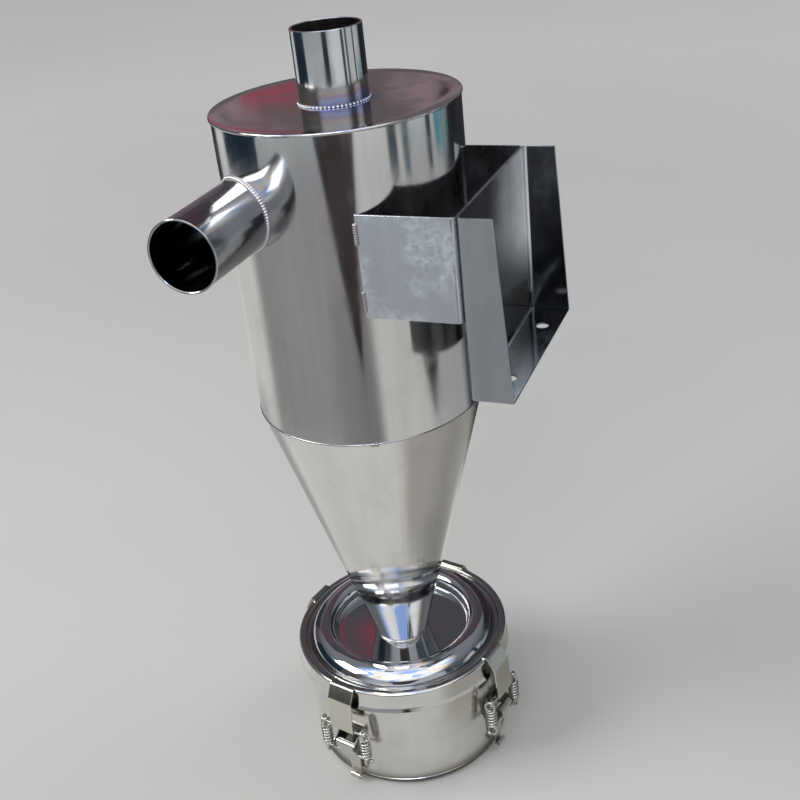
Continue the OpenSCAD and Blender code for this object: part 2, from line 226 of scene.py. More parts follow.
def finish_piece(piece, body, slot, material, *replaced):
    piece.data.materials.clear()
    piece.data.materials.append(material)
    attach(piece, body)
    if replaced:
        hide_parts(*replaced)


# Materials
def add(tree, kind, **settings):
    node = tree.nodes.new("ShaderNode" + kind)
    for key, value in settings.items():
        setattr(node, key, value)
    return node


def set_inputs(node, **values):
    """Sets sockets by their names, with _ for a space."""
    for label, value in values.items():
        node.inputs[label.replace("_", " ")].default_value = value


def group(name, inputs, outputs):
    """A shader group with named sockets, its input and output nodes and its tree."""
    tree = bpy.data.node_groups.new(name, "ShaderNodeTree")
    for label, kind, value in inputs:
        socket = tree.interface.new_socket(label, in_out="INPUT", socket_type="NodeSocket" + kind)
        socket.default_value = value
    for label, kind in outputs:
        tree.interface.new_socket(label, in_out="OUTPUT", socket_type="NodeSocket" + kind)
    return tree, tree.nodes.new("NodeGroupInput"), tree.nodes.new("NodeGroupOutput")


def use_group(tree, grouped, **values):
    node = tree.nodes.new("ShaderNodeGroup")
    node.node_tree = grouped
    set_inputs(node, **values)
    return node


def maths(tree, operation, a, b=None, c=None):
    node = add(tree, "Math", operation=operation)
    for i, value in enumerate((a, b, c)):
        if value is None:
            continue
        if isinstance(value, (int, float)):
            node.inputs[i].default_value = value
        else:
            tree.links.new(value, node.inputs[i])
    return node.outputs[0]


def mixed(tree, factor, a, b):
    """Mixes two colours, each a socket or four numbers."""
    node = add(tree, "Mix", data_type="RGBA")
    for label, value in (("Factor", factor), ("A", a), ("B", b)):
        socket = [s for s in node.inputs if s.name == label and s.enabled][0]
        if isinstance(value, (int, float, tuple)):
            socket.default_value = value
        else:
            tree.links.new(value, socket)
    return [s for s in node.outputs if s.enabled][0]


def noise(tree, coordinates, scale, detail=2, roughness=0.5, distortion=0.0):
    node = add(tree, "TexNoise")
    set_inputs(node, Scale=scale, Detail=detail, Roughness=roughness, Distortion=distortion)
    tree.links.new(coordinates, node.inputs["Vector"])
    return node.outputs["Fac"]


def ramp(tree, value, low, high):
    """0 where value is below low, 1 above high, smooth between. With low above high it falls."""
    node = add(tree, "MapRange", interpolation_type="SMOOTHSTEP")
    set_inputs(node, From_Min=low, From_Max=high)
    tree.links.new(value, node.inputs["Value"])
    return node.outputs["Result"]


def object_place(tree):
    return add(tree, "TexCoord").outputs["Object"]


def split(tree, vector):
    """The X, Y and Z of a vector."""
    parts = add(tree, "SeparateXYZ")
    tree.links.new(vector, parts.inputs[0])
    return parts.outputs


def across(tree, a, b):
    """The distance that a along one axis and b along another make."""
    return maths(tree, "SQRT", maths(tree, "MULTIPLY_ADD", a, a, maths(tree, "MULTIPLY", b, b)))


def bumps(tree, height, strength, depth):
    """The normal of a surface with bumps of that height, depth in metres."""
    bump = add(tree, "Bump")
    set_inputs(bump, Strength=strength, Distance=depth)
    tree.links.new(height, bump.inputs["Height"])
    return bump.outputs["Normal"]


def new_material(name):
    """A new material with its tree and its Principled shader."""
    material = bpy.data.materials.new(name)
    material.use_nodes = True
    return material, material.node_tree, material.node_tree.nodes["Principled BSDF"]


def make_sheet_group():
    """Polished sheet: tall rolling streaks, soft waves, fine scratches and wiped smudges."""
    tree, given, out = group(
        "polished sheet",
        [("Streaks", "Float", 0.5), ("Smudges", "Float", 0.5), ("Waves", "Float", 0.5),
         ("Roughness", "Float", 0.1)],
        [("Tone", "Float"), ("Roughness", "Float"), ("Height", "Float")])
    place = object_place(tree)

    def stretched(z_scale):
        tall = add(tree, "Mapping")
        tall.inputs["Scale"].default_value = (1, 1, z_scale)
        tree.links.new(place, tall.inputs["Vector"])
        return tall.outputs["Vector"]

    streak = noise(tree, stretched(0.06), 70, detail=6, roughness=0.65)
    wipe = ramp(tree, noise(tree, place, 26, detail=7, roughness=0.62, distortion=0.7), 0.47, 0.66)
    scratch = ramp(tree, noise(tree, stretched(0.02), 900, detail=2), 0.35, 0.75)
    facet = noise(tree, stretched(0.05), 38, detail=3, roughness=0.45)
    wave = noise(tree, stretched(0.35), 11, detail=1)

    def with_share(base, pattern, amount, share):
        scaled = maths(tree, "MULTIPLY", given.outputs[amount], share)
        return maths(tree, "MULTIPLY_ADD", pattern, scaled, base)

    tone = maths(tree, "MULTIPLY_ADD", maths(tree, "SUBTRACT", streak, 0.5), given.outputs["Streaks"], 1.0)
    tone = with_share(tone, wipe, "Smudges", -0.10)
    rough = with_share(given.outputs["Roughness"], wipe, "Smudges", 0.12)
    rough = with_share(rough, streak, "Streaks", 0.10)
    rough = with_share(rough, scratch, "Streaks", 0.05)
    height = maths(tree, "MULTIPLY", maths(tree, "MULTIPLY_ADD", facet, 0.22, wave), given.outputs["Waves"])
    for label, value in (("Tone", tone), ("Roughness", rough), ("Height", height)):
        tree.links.new(value, out.inputs[label])
    return tree


def make_tint_group():
    """Heat tint beside a weld: blue, purple and straw bands by the distance from it, in metres."""
    tree, given, out = group(
        "heat tint",
        [("Distance", "Float", 0.1), ("Width", "Float", 0.01)],
        [("Color", "Color"), ("Mask", "Float")])
    place = object_place(tree)
    wander = maths(tree, "MULTIPLY", maths(tree, "SUBTRACT", noise(tree, place, 70, detail=4), 0.5), 1.3)
    widths_off = maths(tree, "DIVIDE", given.outputs["Distance"], given.outputs["Width"])
    share = maths(tree, "ADD", widths_off, wander)
    bands = add(tree, "ValToRGB")
    stops = [(0.0, (0.36, 0.38, 0.50, 1)), (0.25, (0.30, 0.36, 0.72, 1)), (0.42, (0.42, 0.50, 0.80, 1)),
             (0.60, (0.50, 0.36, 0.56, 1)), (0.78, (0.66, 0.52, 0.36, 1)), (1.0, (0.60, 0.59, 0.58, 1))]
    bands.color_ramp.elements[0].color = stops[0][1]
    bands.color_ramp.elements[1].color = stops[-1][1]
    for position, colour in stops[1:-1]:
        bands.color_ramp.elements.new(position).color = colour
    tree.links.new(share, bands.inputs["Fac"])
    tree.links.new(bands.outputs["Color"], out.inputs["Color"])
    tree.links.new(ramp(tree, share, 1.15, 0.65), out.inputs["Mask"])
    return tree


def make_satin_group():
    """Satin folded sheet: mottled smears left by handling and by adhesive film."""
    tree, given, out = group(
        "mottled satin", [("Amount", "Float", 1.0)], [("Tone", "Float"), ("Roughness", "Float")])
    place = object_place(tree)
    large = ramp(tree, noise(tree, place, 34, detail=2), 0.40, 0.60)
    small = ramp(tree, noise(tree, place, 240, detail=4, roughness=0.6, distortion=0.6), 0.30, 0.72)
    smear = maths(tree, "MULTIPLY", large, small)
    amount = given.outputs["Amount"]
    tree.links.new(maths(tree, "MULTIPLY_ADD", smear, maths(tree, "MULTIPLY", amount, 0.18), 0.93),
                   out.inputs["Tone"])
    tree.links.new(maths(tree, "MULTIPLY", smear, maths(tree, "MULTIPLY", amount, 0.22)),
                   out.inputs["Roughness"])
    return tree


sheet_group = make_sheet_group()
tint_group = make_tint_group()
satin_group = make_satin_group()


def steel(name, colour, roughness, streaks, smudges, waves, tint=None, satin=0.0, seam=None, inside=None):
    """Bare stainless sheet. tint is (distance function, width, strength) and seam a height function.
    inside scales the colour on a bracket's inner faces as a painted reflection, and painted shade darkens
    them again low down."""
    material, tree, shader = new_material(name)
    shader.inputs["Metallic"].default_value = 1.0
    sheet = use_group(tree, sheet_group, Streaks=streaks, Smudges=smudges, Waves=waves, Roughness=roughness)
    tone = sheet.outputs["Tone"]
    rough = sheet.outputs["Roughness"]
    if satin:
        mottle = use_group(tree, satin_group, Amount=satin)
        tone = maths(tree, "MULTIPLY", tone, mottle.outputs["Tone"])
        rough = maths(tree, "ADD", rough, mottle.outputs["Roughness"])
    # Painted reflection on a bracket's inner faces, with painted shade low down in the tray
    if inside:
        y, z = split(tree, object_place(tree))[1:]
        depth = maths(tree, "SUBTRACT", bracket_w / 2, maths(tree, "ABSOLUTE", y))
        within = ramp(tree, depth, 0.3 * bracket_t, 0.7 * bracket_t)
        painted_shade_low_down = ramp(tree, z, tray_z + 65 * mm, tray_z + 20 * mm)
        change = maths(tree, "MULTIPLY_ADD", painted_shade_low_down, -0.7 * inside, inside - 1)
        tone = maths(tree, "MULTIPLY", tone, maths(tree, "MULTIPLY_ADD", within, change, 1.0))
    toned = add(tree, "VectorMath", operation="SCALE")
    toned.inputs[0].default_value = colour
    tree.links.new(tone, toned.inputs["Scale"])
    surface = toned.outputs["Vector"]
    if tint:
        distance, width, strength = tint
        heat = use_group(tree, tint_group, Width=width)
        tree.links.new(distance(tree), heat.inputs["Distance"])
        share = maths(tree, "MULTIPLY", heat.outputs["Mask"], strength)
        surface = mixed(tree, share, surface, heat.outputs["Color"])
    tree.links.new(surface, shader.inputs["Base Color"])
    tree.links.new(rough, shader.inputs["Roughness"])
    height = sheet.outputs["Height"]
    if seam:
        height = maths(tree, "ADD", height, seam(tree))
    tree.links.new(bumps(tree, height, 1.0, 0.4 * mm), shader.inputs["Normal"])
    return material


def cone_seam(tree):
    """Height of the polished-down seam that runs up the cone at one side."""
    seam_turn, half_width, height = math.radians(-57), 0.05, 0.12
    x, y = split(tree, object_place(tree))[:2]
    off = maths(tree, "ABSOLUTE", maths(tree, "SUBTRACT", maths(tree, "ARCTAN2", y, x), seam_turn))
    return maths(tree, "MULTIPLY", ramp(tree, off, half_width, 0.0), height)


def rubber(name):
    material, tree, shader = new_material(name)
    place = object_place(tree)
    cloud = noise(tree, place, 40, detail=3)
    grey = mixed(tree, cloud, (0.62, 0.62, 0.60, 1), (0.74, 0.74, 0.71, 1))
    tree.links.new(grey, shader.inputs["Base Color"])
    shader.inputs["Roughness"].default_value = 0.55
    tree.links.new(bumps(tree, noise(tree, place, 700), 0.3, 0.1 * mm), shader.inputs["Normal"])
    return material


def from_outlet(tree):
    """Distance of a point from the weld at the outlet pipe's foot, more on the side that stayed cooler."""
    x, y, z = split(tree, object_place(tree))
    out = maths(tree, "SUBTRACT", across(tree, x, y), pipe_r)
    near = across(tree, out, maths(tree, "SUBTRACT", z, top_z))
    cooler = ramp(tree, x, 0.4 * pipe_r, -0.6 * pipe_r)
    return maths(tree, "MULTIPLY_ADD", cooler, 7 * mm, near)


def from_inlet(tree):
    """Distance of a point from the weld round the inlet pipe's root. Behind the axis it is a metre more."""
    x, y, z = split(tree, object_place(tree))
    off_barrel = maths(tree, "SUBTRACT", across(tree, x, y), barrel_r)
    side = maths(tree, "SUBTRACT", x, inlet_x)
    rise = maths(tree, "SUBTRACT", z, inlet_z)
    off_pipe = maths(tree, "SUBTRACT", across(tree, side, rise), pipe_r)
    behind = maths(tree, "GREATER_THAN", y, 0.0)
    return maths(tree, "ADD", across(tree, off_barrel, off_pipe), behind)


# Each steel's colour, roughness, streaks, smudges and waves
bare = (0.60, 0.59, 0.58)
barrel_steel = steel("barrel steel", bare, 0.07, 0.45, 0.5, 0.55, tint=(from_inlet, 6 * mm, 0.07))
plate_steel = steel("plate steel", bare, 0.06, 0.12, 0.6, 0.5, tint=(from_outlet, 13 * mm, 0.7))
cone_steel = steel("cone steel", (0.65, 0.64, 0.625), 0.05, 0.25, 0.5, 0.4, seam=cone_seam)
outlet_steel = steel("outlet pipe steel", bare, 0.07, 0.5, 0.4, 0.3, tint=(from_outlet, 13 * mm, 0.7))
# The inlet pipe's steel is darker than the outlet's as painted shade, dimming its reflections
inlet_shaded_steel = steel("inlet pipe steel", (0.39, 0.395, 0.41), 0.09, 0.5, 0.7, 1.5,
                    tint=(from_inlet, 7 * mm, 0.25))
lid_steel = steel("pressed lid steel", (0.62, 0.625, 0.635), 0.05, 0.08, 0.4, 0.35)
rim_steel = steel("lid rim steel", (0.60, 0.592, 0.573), 0.09, 0.15, 0.5, 0.3)
bucket_steel = steel("bucket steel", (0.59, 0.577, 0.545), 0.16, 0.22, 0.6, 0.35)
# The bracket's colour is lighter than bare steel as painted light, and both brackets' inside values paint
# reflection and shade on their inner faces
bracket_steel = steel("bracket steel", (0.74, 0.775, 0.82), 0.24, 0.25, 0.6, 0.4,
                      satin=1.0, inside=0.5)
tray_steel = steel("tray steel", (0.56, 0.58, 0.60), 0.07, 0.4, 0.6, 0.7, satin=0.2, inside=1.3)
clip_steel = steel("clip steel", (0.52, 0.51, 0.475), 0.25, 0.3, 0.9, 0.3, satin=0.4)
# The clip bases' steel is near black as painted shade behind the levers
base_shaded_steel = steel("clip base steel", (0.20, 0.195, 0.18), 0.25, 0.3, 0.9, 0.3, satin=0.4)
strap_steel = steel("strap steel", (0.56, 0.555, 0.50), 0.13, 0.3, 0.7, 0.4, satin=0.3)
wire_steel = steel("spring wire", (0.52, 0.51, 0.48), 0.17, 0.3, 0.6, 0.2)
bead_steel = steel("weld bead", (0.44, 0.43, 0.425), 0.18, 0.4, 0.7, 0.3)
tack_steel = steel("tack weld", (0.36, 0.345, 0.34), 0.24, 0.4, 0.8, 0.3)
tinted_bead_steel = steel("tinted weld bead", (0.38, 0.385, 0.40), 0.09, 0.4, 0.5, 0.2,
                          tint=(from_outlet, 3 * mm, 0.1))
inlet_bead_steel = steel("inlet weld bead", (0.60, 0.58, 0.54), 0.17, 0.4, 0.5, 0.2,
                         tint=(from_inlet, 4 * mm, 0.05))
seal_rubber = rubber("seal rubber")


# Cyclone
def make_pipe(name, length):
    """A pipe standing on the origin, with slightly rounded ends."""
    return turned(name, sheet_outline([(pipe_r, 0), (pipe_r, length)], pipe_t))


def plug(radius, length, rotation, place):
    """A round cutter, upright where the rotation is (0, 0, 0)."""
    start_afresh()
    bpy.ops.mesh.primitive_cylinder_add(vertices=TURN_STEPS, radius=radius, depth=length, location=place,
                                        rotation=rotation)
    bpy.ops.object.transform_apply()
    return bpy.context.object


def make_barrel():
    barrel = turned("barrel_shell", sheet_outline([(barrel_r, seam_z), (barrel_r, plate_z)], sheet_t))
    cut(barrel, plug(pipe_r, barrel_r, (math.pi / 2, 0, 0), (inlet_x, -barrel_r, inlet_z)))
    finish_piece(barrel, "separator", "polished_steel", barrel_steel, "barrel")


def make_plate():
    """The top plate with its welded rim drawn as one rounded edge."""
    rim_r = 0.9 * mm
    flat_r = barrel_r - 0.6 * mm
    hole_in_plate_r = pipe_r + 0.05 * mm
    plate = turned("top_disc", [
        (hole_in_plate_r, plate_z), (barrel_r, plate_z), *arc(barrel_r, plate_z + rim_r, rim_r, -90, 60, 8),
        (flat_r, top_z), (barrel_r - 10 * mm, top_z), (barrel_r / 2, top_z), (hole_in_plate_r, top_z)])
    finish_piece(plate, "separator", "polished_steel", plate_steel, "top_plate", "top_weld")


def make_cone():
    slope = (barrel_r - foot_r) / (seam_z - lid_floor_z)
    wall = sheet_t * math.sqrt(1 + slope * slope)
    steps = 6
    rows = [i / steps for i in range(steps + 1)]
    outer = [(foot_r + (barrel_r - foot_r) * t, lid_floor_z + (seam_z - lid_floor_z) * t) for t in rows]
    inner = [(r - wall, z) for r, z in outer[::-1]]
    cone = turned("cone_shell", outer + inner)
    finish_piece(cone, "separator", "polished_steel", cone_steel, "cone")

    seam_bead_r = 0.75 * mm
    seam_bead = arc(barrel_r - 0.2 * mm, seam_z, seam_bead_r, -105, 90, 8)
    seam = turned("cone_seam_bead", [(barrel_r - 0.3 * mm, seam_z), *seam_bead])
    finish_piece(seam, "separator", "weld_bead", bead_steel, "cone_weld")
    foot_bead = arc(foot_r, lid_floor_z, foot_bead_r, 0, 75, 6)
    foot = turned("cone_foot_bead", [(foot_r, lid_floor_z), *foot_bead])
    finish_piece(foot, "separator", "weld_bead", bead_steel, "foot_weld")


def make_pipes():
    outlet = make_pipe("outlet_pipe", outlet_top_z - outlet_low_z)
    outlet.location.z = outlet_low_z
    only(outlet)
    bpy.ops.object.transform_apply()
    finish_piece(outlet, "separator", "pipe_steel", outlet_steel, "outlet_tube")

    inlet = make_pipe("inlet_pipe", -mouth_y)
    inlet.rotation_euler = (math.pi / 2, 0, 0)
    inlet.location = (inlet_x, 0, inlet_z)
    only(inlet)
    bpy.ops.object.transform_apply()
    cut(inlet, plug(barrel_r - sheet_t, 4 * pipe_r, (0, 0, 0), (0, 0, inlet_z)))
    finish_piece(inlet, "separator", "pipe_steel", inlet_shaded_steel, "inlet_tube")


def placed(x_axis, y_axis, z_axis, point):
    """The matrix that lays an object along those axes at that point."""
    return Matrix([[x_axis[i], y_axis[i], z_axis[i], point[i]] for i in range(3)] + [[0, 0, 0, 1]])


def make_bead(size):
    """One scale of a weld: a flattened ball at the origin."""
    start_afresh()
    bpy.ops.mesh.primitive_uv_sphere_add(segments=12, ring_count=8, radius=size)
    bead = bpy.context.object
    bead.scale = (1.0, 0.95, 0.8)
    bpy.ops.object.transform_apply()
    return bead


def weld_of(name, places, size):
    """Scales of weld metal at the places, each (point, along, up), leaning along the weld and joined."""
    lean = math.radians(24)
    model = make_bead(size)
    copies = []
    for point, along, up in places:
        scale = copy_of(model)
        side = up.cross(along).normalized()
        along = side.cross(up).normalized()
        tilted_up = (up * math.cos(lean) + along * math.sin(lean)).normalized()
        tilted_along = side.cross(tilted_up).normalized()
        scale.matrix_world = placed(side, tilted_along, tilted_up, point)
        copies.append(scale)
    bpy.data.objects.remove(model)
    weld = joined(name, copies)
    bpy.ops.object.transform_apply()
    bpy.ops.object.shade_smooth_by_angle(angle=math.radians(60))
    return weld


def directions(a):
    """Outwards and along the circle at that angle from +X."""
    return Vector((math.cos(a), math.sin(a), 0)), Vector((-math.sin(a), math.cos(a), 0))


def make_outlet_weld():
    count = 54
    off = 0.3 * mm
    places = []
    for i in range(count):
        outward, along = directions(2 * math.pi * i / count)
        up = (outward + Vector((0, 0, 1))).normalized()
        places.append((outward * (pipe_r + off) + Vector((0, 0, top_z + off)), along, up))
    finish_piece(weld_of("outlet_bead", places, 1.45 * mm), "separator", "tinted_weld", tinted_bead_steel,
                 "outlet_weld")


def make_inlet_weld():
    count = 78
    off = 0.35 * mm

    def at(i):
        a = 2 * math.pi * i / count
        x = inlet_x + (pipe_r + off) * math.cos(a)
        r = barrel_r + off
        return Vector((x, -math.sqrt(r * r - x * x), inlet_z + (pipe_r + off) * math.sin(a)))

    places = []
    for i in range(count):
        a = 2 * math.pi * i / count
        off_pipe = Vector((math.cos(a), 0, math.sin(a)))
        off_barrel = Vector((at(i).x, at(i).y, 0)).normalized()
        places.append((at(i), at(i + 1) - at(i - 1), (off_pipe + off_barrel).normalized()))
    finish_piece(weld_of("inlet_bead", places, 1.5 * mm), "separator", "tinted_weld", inlet_bead_steel,
                 "inlet_weld")


# Lid and bucket
def make_lid():
    shoulder_r = 2.2 * mm
    step_bend_r = 1.2 * mm
    bend_r = 1.4 * mm
    band_h = 6 * mm
    step_r = lid_r - 6 * mm
    groove_z = lid_floor_z - 1.5 * mm
    flare_h = 4 * mm
    rim = turned("lid_rim_band", sheet_outline([
        (skirt_r, skirt_z), (lid_r + 0.5 * mm, skirt_z + 0.65 * flare_h), (lid_r, skirt_z + flare_h),
        (lid_r, shoulder_z - band_h),
        *arc(lid_r - shoulder_r, shoulder_z - shoulder_r, shoulder_r, 0, 90, 14),
        *arc(step_r + step_bend_r, shoulder_z - step_bend_r, step_bend_r, 90, 180, 8),
        *arc(step_r - bend_r, groove_z + bend_r, bend_r, 0, -90, 8),
        (rim_join_r, groove_z)], pressed_t))
    finish_piece(rim, "separator", "pressed_steel", rim_steel, "lid_rim")

    ring_foot_r = rim_join_r - bend_r - 0.6 * mm
    ring_inner_r = ring_crest_r - ring_back_r
    slope_w = ring_foot_r - ring_crest_r
    slope_h = ring_z - groove_z
    slope_steps = 24
    slope_turns = [math.radians(8 + 82 * i / slope_steps) for i in range(slope_steps)]
    slope = [(ring_crest_r + slope_w * math.cos(a), groove_z + slope_h * math.sin(a)) for a in slope_turns]
    floor_bend_r = 2 * bend_r
    flat_edge = 8 * mm
    top = turned("lid_top", sheet_outline([
        (rim_join_r, groove_z),
        *arc(ring_foot_r + bend_r, groove_z + bend_r, bend_r, 270, 180, 8), *slope,
        *arc(ring_crest_r, ring_z - ring_back_r, ring_back_r, 90, 168, 18),
        *arc(ring_inner_r - floor_bend_r, lid_floor_z + floor_bend_r, floor_bend_r, -12, -90, 10),
        (ring_inner_r - flat_edge, lid_floor_z), (foot_r + flat_edge, lid_floor_z),
        (foot_r - sheet_t, lid_floor_z)], pressed_t))
    finish_piece(top, "separator", "pressed_steel", lid_steel, "bucket_lid")


def make_bucket():
    wall_t = 0.8 * mm
    wall = turned("bucket_side", sheet_outline([
        (bucket_foot_r, pan_edge_z), ((bucket_foot_r + bucket_top_r) / 2, (pan_edge_z + bucket_h) / 2),
        (bucket_top_r, bucket_h - bucket_roll_r),
        *arc(bucket_top_r - bucket_roll_r, bucket_h - bucket_roll_r, bucket_roll_r, 15, 200, 10)], wall_t))
    finish_piece(wall, "separator", "bucket_steel", bucket_steel, "bucket_wall")

    bend_r = 5 * mm
    lift = 2.5 * mm
    ring_out_r = bucket_foot_r - bend_r
    ring_in_r = ring_out_r - 10 * mm
    pan = turned("bucket_pan", sheet_outline([
        (1 * mm, lift), (ring_in_r - 2 * lift, lift), (ring_in_r - lift, lift), (ring_in_r, 0),
        *arc(ring_out_r, bend_r, bend_r, -90, 0, 10),
        (bucket_foot_r, pan_edge_z)], pressed_t))
    close_middle(pan)
    finish_piece(pan, "separator", "bucket_steel", bucket_steel, "bucket_bottom")


def close_middle(piece):
    """Closes the small hole that turned() leaves at the axis."""
    middle_r = 1.5 * mm
    only(piece)
    bpy.ops.object.mode_set(mode="EDIT")
    bpy.ops.mesh.select_all(action="DESELECT")
    mesh = bmesh.from_edit_mesh(piece.data)
    for face in mesh.faces:
        if all(Vector((v.co.x, v.co.y)).length < middle_r for v in face.verts):
            face.select = True
    bmesh.update_edit_mesh(piece.data)
    bpy.ops.mesh.delete(type="FACE")
    bpy.ops.mesh.select_all(action="DESELECT")
    mesh = bmesh.from_edit_mesh(piece.data)
    for edge in mesh.edges:
        if edge.is_boundary:
            edge.select = True
    bmesh.update_edit_mesh(piece.data)
    bpy.ops.mesh.edge_face_add()
    bpy.ops.mesh.select_all(action="SELECT")
    bpy.ops.mesh.normals_make_consistent(inside=False)
    settle(piece)


# Folded sheet: an edge drawn along a path, given its thickness, and its edges eased
def folded(name, path, width, thickness, across_z=False, widths=None):
    """A strip of sheet along a path of points, its width along Y or along Z. widths may taper it."""
    start_afresh()
    turn = (0, math.pi / 2, 0) if across_z else (0, 0, 0)
    bpy.ops.mesh.primitive_plane_add(size=width, location=path[0], rotation=turn, enter_editmode=True)
    piece = bpy.context.object
    piece.name = name
    bpy.ops.mesh.select_all(action="SELECT")
    bpy.ops.transform.resize(value=(0, 0, 1) if across_z else (0, 1, 0), center_override=path[0])
    bpy.ops.mesh.remove_doubles(threshold=merge_gap)
    bpy.ops.mesh.select_mode(type="EDGE")
    bpy.ops.mesh.select_all(action="SELECT")
    for i in range(1, len(path)):
        step = Vector(path[i]) - Vector(path[i - 1])
        bpy.ops.mesh.extrude_edges_move(TRANSFORM_OT_translate={"value": step})
        if widths:
            change = widths[i] / widths[i - 1]
            bpy.ops.transform.resize(value=(1, change, 1), center_override=path[i])
    bpy.ops.mesh.select_all(action="SELECT")
    bpy.ops.mesh.normals_make_consistent(inside=False)
    bpy.ops.object.mode_set(mode="OBJECT")
    shell = piece.modifiers.new("thickness", "SOLIDIFY")
    shell.thickness = thickness
    shell.offset = 0
    shell.use_even_offset = True
    bpy.ops.object.modifier_apply(modifier="thickness")
    bpy.ops.object.mode_set(mode="EDIT")
    bpy.ops.mesh.select_all(action="SELECT")
    bpy.ops.mesh.normals_make_consistent(inside=False)
    return settle(piece)


def ease_edges(piece, size):
    only(piece)
    ease = piece.modifiers.new("eased edges", "BEVEL")
    ease.width = size
    ease.segments = 2
    ease.limit_method = "ANGLE"
    ease.angle_limit = sharp_angle
    bpy.ops.object.modifier_apply(modifier="eased edges")
    bpy.ops.object.shade_smooth_by_angle(angle=smooth_angle)


# Bracket
def make_bracket():
    bend_r = bracket_bend_r
    side = bracket_side
    web = web_x - bracket_t / 2
    middle_z = (saddle_z + bracket_top_z) / 2
    height = bracket_top_z - saddle_z
    near_x = 20 * mm
    plan = [(near_x, -side), *arc(web - bend_r, -side + bend_r, bend_r, -90, 0, 8),
            *arc(web - bend_r, side - bend_r, bend_r, 0, 90, 8), (near_x, side)]
    saddle = folded("saddle", [(x, y, middle_z) for x, y in plan], height, bracket_t, across_z=True)
    cut(saddle, plug(barrel_r, 2 * height, (0, 0, 0), (0, 0, middle_z)))
    ease_edges(saddle, bracket_edge)
    finish_piece(saddle, "separator", "bracket_steel", bracket_steel, "saddle_bracket")


def make_tray():
    bend_r = bracket_bend_r
    side = bracket_side
    web = web_x + bracket_t / 2
    tray_h = bracket_top_z - tray_z
    middle_z = tray_z + tray_h / 2
    out_x = web_x + tray_out
    plan = [(out_x, side), *arc(web + bend_r, side - bend_r, bend_r, 90, 180, 8),
            *arc(web + bend_r, -side + bend_r, bend_r, 180, 270, 8), (out_x, -side)]
    tray = folded("tray", [(x, y, middle_z) for x, y in plan], tray_h, bracket_t, across_z=True)

    # The side plates' outer edges lean back towards the top
    top_depth = tray_out - 6.5 * mm
    only(tray)
    bpy.ops.object.mode_set(mode="EDIT")
    bpy.ops.mesh.select_all(action="SELECT")
    bpy.ops.mesh.bisect(plane_co=(web_x + top_depth, 0, bracket_top_z),
                        plane_no=(tray_h, 0, tray_out - top_depth), use_fill=True, clear_outer=True)
    settle(tray)

    # Its floor, bent up against the web, with the two screw holes
    side_gap = 0.6 * mm
    inner_w = bracket_w - 2 * (bracket_t + side_gap)
    low = tray_z + bracket_t / 2
    corner = arc(web + bend_r, low + bend_r, bend_r, 180, 270, 8)
    floor_path = [*[(x, 0, z) for x, z in corner], (out_x, 0, low)]
    bottom = folded("tray_bottom", floor_path, inner_w, bracket_t)
    for y in (-hole_gap / 2, hole_gap / 2):
        cut(bottom, plug(hole_r, 10 * bracket_t, (0, 0, 0), (web_x + hole_out, y, tray_z)))
    tray = joined("tray", [tray, bottom])
    ease_edges(tray, bracket_edge)
    finish_piece(tray, "separator", "bracket_steel", tray_steel, "tray_bracket")


def make_edge_welds():
    """Short runs of weld where the saddle's side plates meet the barrel."""
    edge_y = bracket_w / 2
    edge_x = math.sqrt(barrel_r * barrel_r - edge_y * edge_y)
    from_end = 12 * mm
    sunk, off = 0.2 * mm, 0.3 * mm
    pitch = 1.7 * mm
    count = 8
    places = []
    for side in (-1, 1):
        up = Vector((0.35 * edge_x / barrel_r, side, 0)).normalized()
        for z in (saddle_z + from_end, bracket_top_z - from_end):
            for i in range(count):
                rise = (i - count / 2) * pitch
                point = Vector((edge_x - sunk, side * (edge_y + off), z + rise))
                places.append((point, Vector((0, 0, 1)), up))
    weld = weld_of("edge_beads", places, 1.7 * mm)
    finish_piece(weld, "separator", "weld_bead", tack_steel, "saddle_welds")


def make_seam_tack():
    """A tack weld on the seam between barrel and cone, at the front."""
    middle, pitch = -66, 1.1
    places = []
    for step in (-1, 0, 1):
        outward, along = directions(math.radians(middle + pitch * step))
        point = outward * (barrel_r + 0.3 * mm) + Vector((0, 0, seam_z - 0.4 * mm))
        places.append((point, along, outward))
    finish_piece(weld_of("seam_tack", places, 1.5 * mm), "separator", "weld_bead", tack_steel)


# Clips: the first is made on +X, then copied and turned round the bucket
def wall_x(z):
    """The bucket's outer radius at that height."""
    share = (z - pan_edge_z) / (bucket_h - bucket_roll_r - pan_edge_z)
    return bucket_foot_r + (bucket_top_r - bucket_foot_r) * share


def rod(x, z, radius, length, ball=0.0):
    """A round pin along Y with eased ends. ball is the radius of a ball over each end, if any."""
    start_afresh()
    bpy.ops.mesh.primitive_cylinder_add(vertices=20, radius=radius, depth=length, location=(x, 0, z),
                                        rotation=(math.pi / 2, 0, 0))
    pin = bpy.context.object
    bpy.ops.object.transform_apply()
    ease_edges(pin, 0.3 * radius)
    parts = [pin]
    for side in (-1, 1) if ball else ():
        start_afresh()
        bpy.ops.mesh.primitive_uv_sphere_add(segments=16, ring_count=10, radius=ball,
                                             location=(x, side * length / 2, z))
        bpy.ops.object.transform_apply()
        parts.append(bpy.context.object)
    return joined("pin", parts) if ball else pin


def path_xz(points):
    return [(x, 0, z) for x, z in points]


